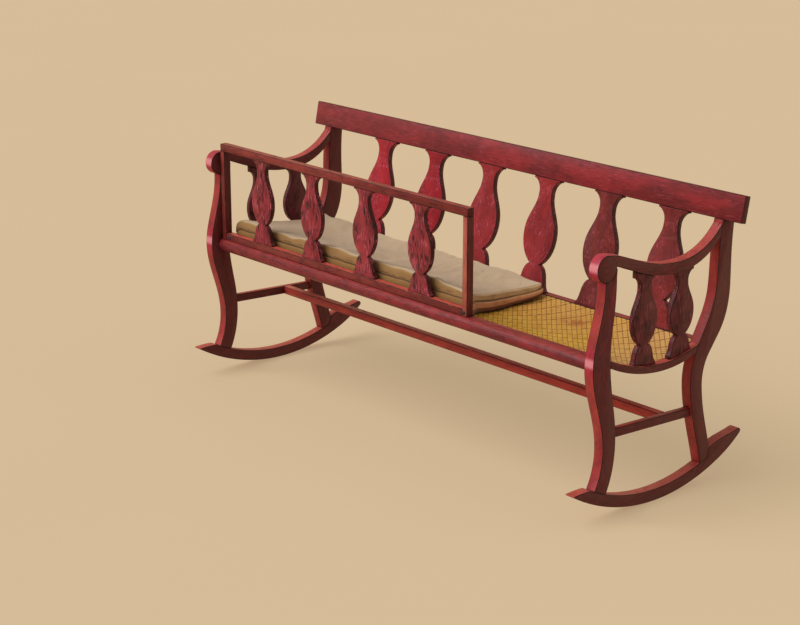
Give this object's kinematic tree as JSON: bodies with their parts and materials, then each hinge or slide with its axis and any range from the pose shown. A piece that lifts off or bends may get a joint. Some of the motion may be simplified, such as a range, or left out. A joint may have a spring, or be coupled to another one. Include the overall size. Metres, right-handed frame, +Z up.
{
  "type": "rocking bench",
  "caption": "Long wooden bench on two rockers, with a dished cane seat, scrolled arms, vase balusters, a lift-off cradle guard and a loose mattress.",
  "frame": {"origin": "on the floor, midway between the rocker tips and midway between the ends of the crest rail", "axes": "+X along the bench to the right of someone facing it, +Y from front to back, +Z up"},
  "size_m": [1.732, 0.65, 0.788],
  "materials": {
    "painted_wood": "satin",
    "bare_wood": "matte",
    "cane": "satin",
    "ticking": "matte"
  },
  "bodies": {
    "root": {"arm_baluster_front_left": "painted_wood", "arm_baluster_front_right": "painted_wood", "arm_baluster_rear_left": "painted_wood", "arm_baluster_rear_right": "painted_wood", "arm_left": "painted_wood", "arm_right": "painted_wood", "back_baluster_1": "painted_wood", "back_baluster_2": "painted_wood", "back_baluster_3": "painted_wood", "back_baluster_4": "painted_wood", "back_baluster_5": "painted_wood", "back_baluster_6": "painted_wood", "cane_seat": "cane", "crest_pins": "bare_wood", "crest_rail": "painted_wood", "front_post_left": "painted_wood", "front_post_right": "painted_wood", "front_seat_rail": "painted_wood", "long_stretcher": "painted_wood", "rear_post_left": "painted_wood", "rear_post_right": "painted_wood", "rear_seat_rail": "painted_wood", "rocker_left": "painted_wood", "rocker_right": "painted_wood", "seat_brace_left": "painted_wood", "seat_brace_right": "painted_wood", "side_seat_rail_left": "painted_wood", "side_seat_rail_right": "painted_wood", "side_stretcher_left": "painted_wood", "side_stretcher_right": "painted_wood"},
    "guard": {"guard_baluster_1": "painted_wood", "guard_baluster_2": "painted_wood", "guard_baluster_3": "painted_wood", "guard_baluster_4": "painted_wood", "guard_bottom_rail": "painted_wood", "guard_pegs": "bare_wood", "guard_stile_left": "painted_wood", "guard_stile_right": "painted_wood", "guard_top_rail": "painted_wood"},
    "mattress": {"mattress": "ticking"}
  },
  "joints": [
    {"name": "guard_lift", "type": "slide", "parent": "root", "child": "guard", "axis": [0, 0, 1], "range_m": [0, 0.082]},
    {"name": "mattress_lift", "type": "slide", "parent": "root", "child": "mattress", "axis": [0, 0, 1], "range_m": [0, 0.45]}
  ]
}
